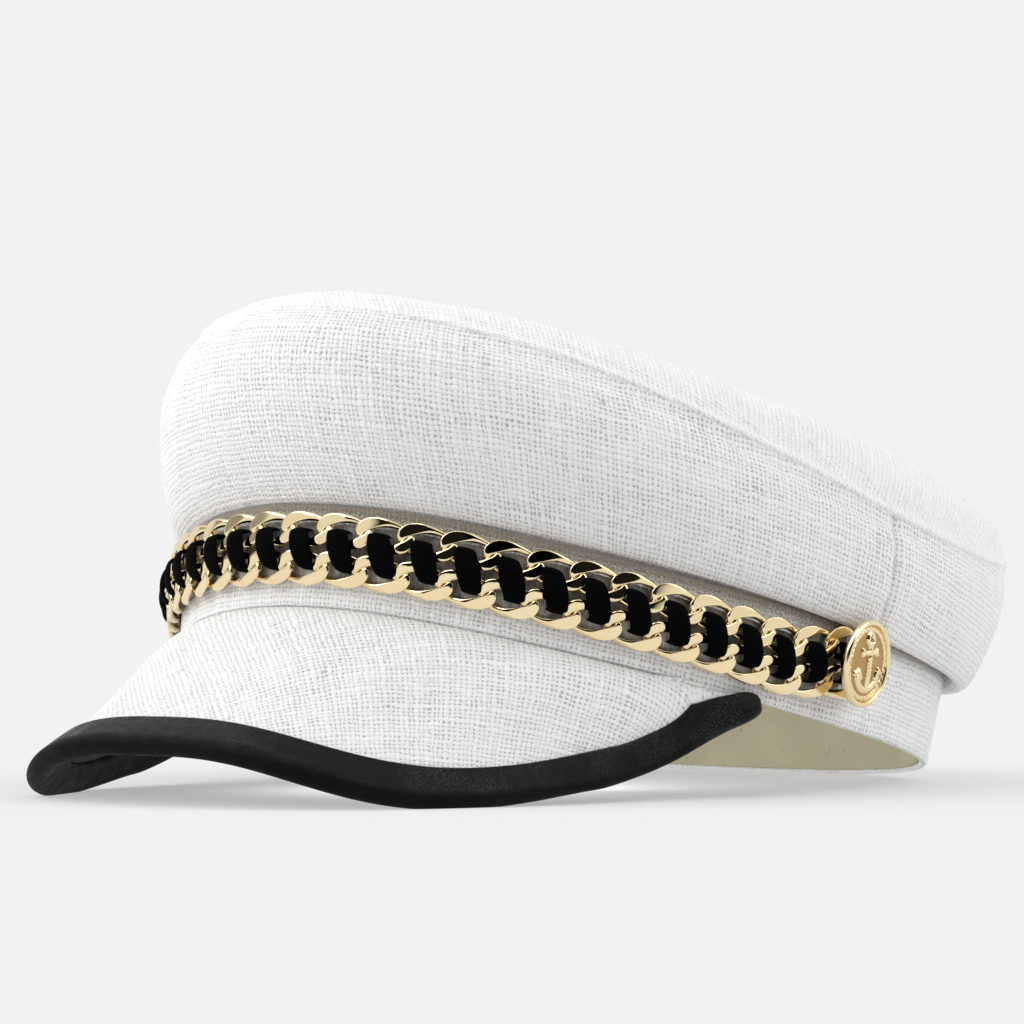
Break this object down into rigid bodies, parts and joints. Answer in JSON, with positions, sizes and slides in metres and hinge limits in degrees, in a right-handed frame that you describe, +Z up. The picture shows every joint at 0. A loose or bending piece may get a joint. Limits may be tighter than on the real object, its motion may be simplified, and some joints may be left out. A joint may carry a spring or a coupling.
{
  "type": "military cap",
  "caption": "Soft linen military cap with a full domed crown, a short leather-bound peak and a gold curb chain trim laced with velvet ribbon between gold buttons",
  "frame": {"origin": "on the surface that the cap stands on, under the middle of its bounding box", "axes": "+Z up; the front of the cap, with its peak, looks along -Y; +X is the wearer's left"},
  "size_m": [0.1942, 0.2806, 0.1164],
  "materials": {
    "linen": "coarse plain weave",
    "sweatband_cloth": "smooth, matt",
    "underside_cloth": "matt",
    "leather": "grained, soft sheen",
    "gold": "polished gold plate",
    "velvet": "pile"
  },
  "bodies": {
    "root": {"crown_side_front": "linen", "crown_side_back": "linen", "crown_top": "linen", "band": "linen", "sweatband": "sweatband_cloth", "peak_top": "linen", "peak_underside": "underside_cloth", "peak_binding": "leather", "chain_upper": "gold", "chain_lower": "gold", "velvet_ribbon": "velvet", "button_left": "gold", "button_right": "gold"}
  },
  "joints": []
}
